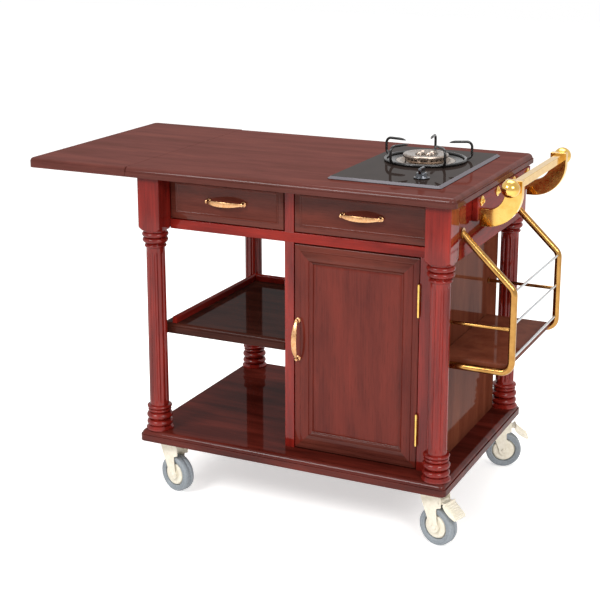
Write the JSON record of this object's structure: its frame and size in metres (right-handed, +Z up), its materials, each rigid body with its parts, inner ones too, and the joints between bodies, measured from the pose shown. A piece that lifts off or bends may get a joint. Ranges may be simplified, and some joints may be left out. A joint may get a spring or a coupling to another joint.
{
  "type": "flambe cart",
  "caption": "Wooden serving cart with built-in gas burner, drop leaf, drawers, cupboard, side rack with push bar and swivel casters with brakes.",
  "frame": {"origin": "on the floor under the middle of the cart's outline, with the leaf up", "axes": "+X along the cart from the drop leaf to the push bar, +Y from the door side to the back, +Z up"},
  "size_m": [1.332, 0.655, 0.9595],
  "materials": {
    "lacquer": "high-gloss red mahogany lacquer",
    "top_lacquer": "glossy brown-red mahogany lacquer",
    "plain_wood": "plain satin wood",
    "brass": "polished",
    "steel": "satin stainless",
    "black_glass": "black, polished, with a ground bevel",
    "burner_metal": "cast and machined",
    "wire_enamel": "black enamelled wire",
    "chrome": "polished",
    "zinc": "cream coated steel",
    "grey_rubber": "matte grey rubber"
  },
  "bodies": {
    "cart": {"post_front_left": "lacquer", "post_front_right": "lacquer", "post_rear_left": "lacquer", "post_rear_right": "lacquer", "base_board": "lacquer", "middle_shelf": "lacquer", "shelf_gallery": "lacquer", "partition": "lacquer", "side_panel": "lacquer", "cabinet_back": "lacquer", "face_frame": "lacquer", "rear_apron": "lacquer", "left_apron": "lacquer", "right_apron": "lacquer", "rack_shelf": "lacquer", "handle_rail": "lacquer", "worktop": "top_lacquer", "drawer_deck": "plain_wood", "leaf_hinge_fixed": "brass", "door_hinge_fixed": "brass", "rack_tubes": "brass", "handle_brackets": "brass", "handle_bar": "brass", "handle_balls": "brass", "gas_line": "brass", "rack_rods": "steel", "hob_tray": "steel", "drip_bowl": "steel", "hob_glass": "black_glass", "burner_body": "burner_metal", "caster_plates": "zinc"},
    "leaf": {"drop_leaf": "top_lacquer", "leaf_hinge_moving": "brass"},
    "drawer_left": {"drawer_left_front": "lacquer", "drawer_left_box": "plain_wood", "drawer_left_pull": "brass"},
    "drawer_right": {"drawer_right_front": "lacquer", "drawer_right_box": "plain_wood", "drawer_right_pull": "brass"},
    "door": {"door_frame": "lacquer", "door_panel": "lacquer", "door_pull": "brass", "door_hinge_moving": "brass"},
    "knob": {"hob_knob": "chrome"},
    "cap": {"burner_cap": "burner_metal"},
    "support": {"pan_support": "wire_enamel"},
    "caster_front_left": {"fork_front_left": "zinc"},
    "wheel_front_left": {"hub_front_left": "zinc", "tyre_front_left": "grey_rubber"},
    "caster_front_right": {"fork_front_right": "zinc"},
    "wheel_front_right": {"hub_front_right": "zinc", "tyre_front_right": "grey_rubber"},
    "caster_rear_left": {"fork_rear_left": "zinc"},
    "wheel_rear_left": {"hub_rear_left": "zinc", "tyre_rear_left": "grey_rubber"},
    "caster_rear_right": {"fork_rear_right": "zinc"},
    "wheel_rear_right": {"hub_rear_right": "zinc", "tyre_rear_right": "grey_rubber"},
    "pedal_front_right": {"brake_front_right": "zinc"},
    "pedal_rear_right": {"brake_rear_right": "zinc"}
  },
  "joints": [
    {"name": "leaf_fold", "type": "hinge", "parent": "cart", "child": "leaf", "pos_m": [-0.361, 0, 0.8704], "axis": [0, -1, 0], "range_deg": [0, 90]},
    {"name": "drawer_left_slide", "type": "slide", "parent": "cart", "child": "drawer_left", "axis": [0, -1, 0], "range_m": [0, 0.3]},
    {"name": "drawer_right_slide", "type": "slide", "parent": "cart", "child": "drawer_right", "axis": [0, -1, 0], "range_m": [0, 0.3]},
    {"name": "door_swing", "type": "hinge", "parent": "cart", "child": "door", "pos_m": [0.42825, -0.2599, 0.455], "axis": [0, 0, 1], "range_deg": [0, 105]},
    {"name": "knob_turn", "type": "hinge", "parent": "cart", "child": "knob", "pos_m": [0.393, -0.163, 0.92], "axis": [0, 0, 1], "range_deg": [0, 180]},
    {"name": "cap_lift", "type": "slide", "parent": "cart", "child": "cap", "axis": [0, 0, 1], "range_m": [0, 0.04]},
    {"name": "support_lift", "type": "slide", "parent": "cart", "child": "support", "axis": [0, 0, 1], "range_m": [0, 0.06]},
    {"name": "swivel_front_left", "type": "hinge", "parent": "cart", "child": "caster_front_left", "pos_m": [-0.285, -0.2615, 0.13], "axis": [0, 0, 1], "continuous": true},
    {"name": "roll_front_left", "type": "hinge", "parent": "caster_front_left", "child": "wheel_front_left", "pos_m": [-0.25631, -0.27027, 0.05], "axis": [0.2924, 0.9563, 0], "continuous": true},
    {"name": "swivel_front_right", "type": "hinge", "parent": "cart", "child": "caster_front_right", "pos_m": [0.469, -0.2615, 0.13], "axis": [0, 0, 1], "continuous": true},
    {"name": "roll_front_right", "type": "hinge", "parent": "caster_front_right", "child": "wheel_front_right", "pos_m": [0.49769, -0.27027, 0.05], "axis": [0.2924, 0.9563, 0], "continuous": true},
    {"name": "brake_front_right", "type": "hinge", "parent": "caster_front_right", "child": "pedal_front_right", "pos_m": [0.51108, -0.27436, 0.1185], "axis": [0.2924, 0.9563, 0], "range_deg": [0, 12]},
    {"name": "swivel_rear_left", "type": "hinge", "parent": "cart", "child": "caster_rear_left", "pos_m": [-0.285, 0.2615, 0.13], "axis": [0, 0, 1], "continuous": true},
    {"name": "roll_rear_left", "type": "hinge", "parent": "caster_rear_left", "child": "wheel_rear_left", "pos_m": [-0.25631, 0.25273, 0.05], "axis": [0.2924, 0.9563, 0], "continuous": true},
    {"name": "swivel_rear_right", "type": "hinge", "parent": "cart", "child": "caster_rear_right", "pos_m": [0.469, 0.2615, 0.13], "axis": [0, 0, 1], "continuous": true},
    {"name": "roll_rear_right", "type": "hinge", "parent": "caster_rear_right", "child": "wheel_rear_right", "pos_m": [0.49641, 0.2737, 0.05], "axis": [-0.4067, 0.9135, 0], "continuous": true},
    {"name": "brake_rear_right", "type": "hinge", "parent": "caster_rear_right", "child": "pedal_rear_right", "pos_m": [0.5092, 0.2794, 0.1185], "axis": [-0.4067, 0.9135, 0], "range_deg": [0, 12]}
  ]
}
